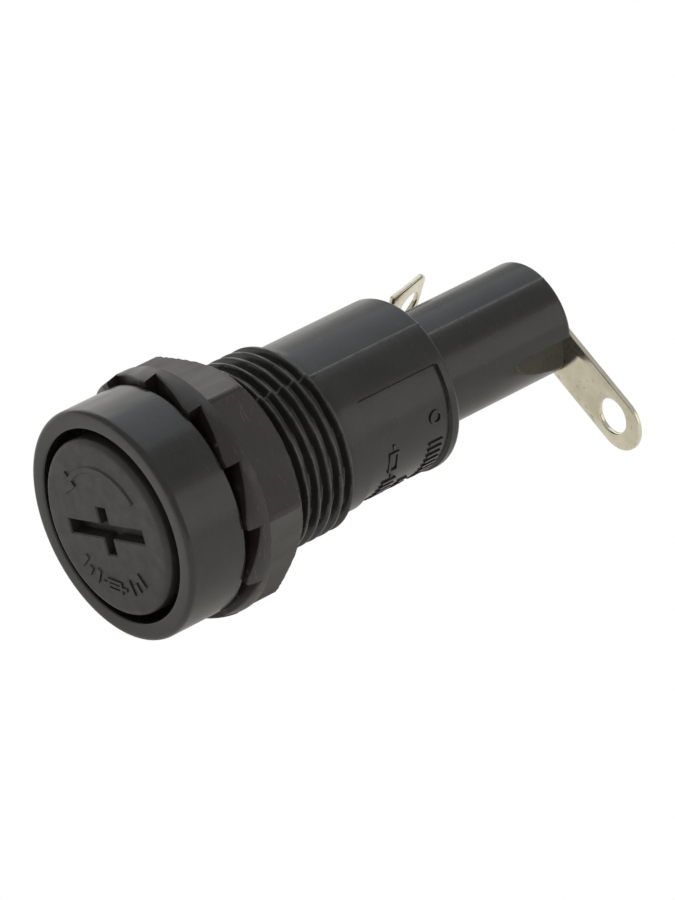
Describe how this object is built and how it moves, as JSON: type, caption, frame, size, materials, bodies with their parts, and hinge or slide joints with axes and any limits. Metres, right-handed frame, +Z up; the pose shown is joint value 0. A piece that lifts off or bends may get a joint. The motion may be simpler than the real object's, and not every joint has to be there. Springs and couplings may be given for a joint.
{
  "type": "cartridge fuse holder",
  "caption": "Round panel-mounted holder for a small glass cartridge fuse, with a bayonet knob, a locking hex nut on a threaded neck, and two solder lugs.",
  "frame": {"origin": "centre of the bezel's rear face, where the holder's axis meets the front of the panel", "axes": "+Y along the holder's axis from the knob towards the rear terminal, +Z up, +X to the right as seen from the front"},
  "size_m": [0.018, 0.0358, 0.0162],
  "materials": {
    "black_moulding": "near-black moulded thermoplastic with a satin sheen",
    "nut_moulding": "warm black moulded thermoplastic, slightly rougher",
    "knob_moulding": "black moulded thermoplastic, matt",
    "steel_pin": "bright steel",
    "plated_contact": "nickel-plated brass",
    "ferrule_plating": "nickel-plated brass cap",
    "clear_glass": "clear glass tube",
    "solder": "dull solder",
    "fuse_wire": "tinned copper wire",
    "spring_steel": "drawn spring steel",
    "plated_terminal": "tin-plated brass strip"
  },
  "bodies": {
    "holder": {"housing": "black_moulding", "side_terminal": "plated_terminal", "end_terminal": "plated_terminal", "end_rivet": "plated_terminal", "contact_spring": "spring_steel"},
    "nut": {"hex_nut": "nut_moulding"},
    "plunger": {"contact_plunger": "plated_contact"},
    "fuse_carriage": {"contact_clip": "plated_contact", "front_ferrule": "ferrule_plating", "rear_ferrule": "ferrule_plating", "glass_tube": "clear_glass", "front_solder": "solder", "rear_solder": "solder", "fuse_wire": "fuse_wire"},
    "knob": {"knob": "knob_moulding", "clip_pin": "steel_pin"}
  },
  "joints": [
    {"name": "nut_travel", "type": "slide", "parent": "holder", "child": "nut", "axis": [0, 1, 0], "range_m": [0, 0.00498]},
    {"name": "plunger_press", "type": "slide", "parent": "holder", "child": "plunger", "axis": [0, 1, 0], "range_m": [0, 0.0009], "stiffness_N_per_m": 500, "deforming": ["contact_spring"]},
    {"name": "carrier_slide", "type": "slide", "parent": "holder", "child": "fuse_carriage", "axis": [0, -1, 0], "range_m": [0, 0.034]},
    {"name": "knob_turn", "type": "hinge", "parent": "fuse_carriage", "child": "knob", "pos_m": [0, 0, 0], "axis": [0, 1, 0], "range_deg": [0, 60]}
  ]
}
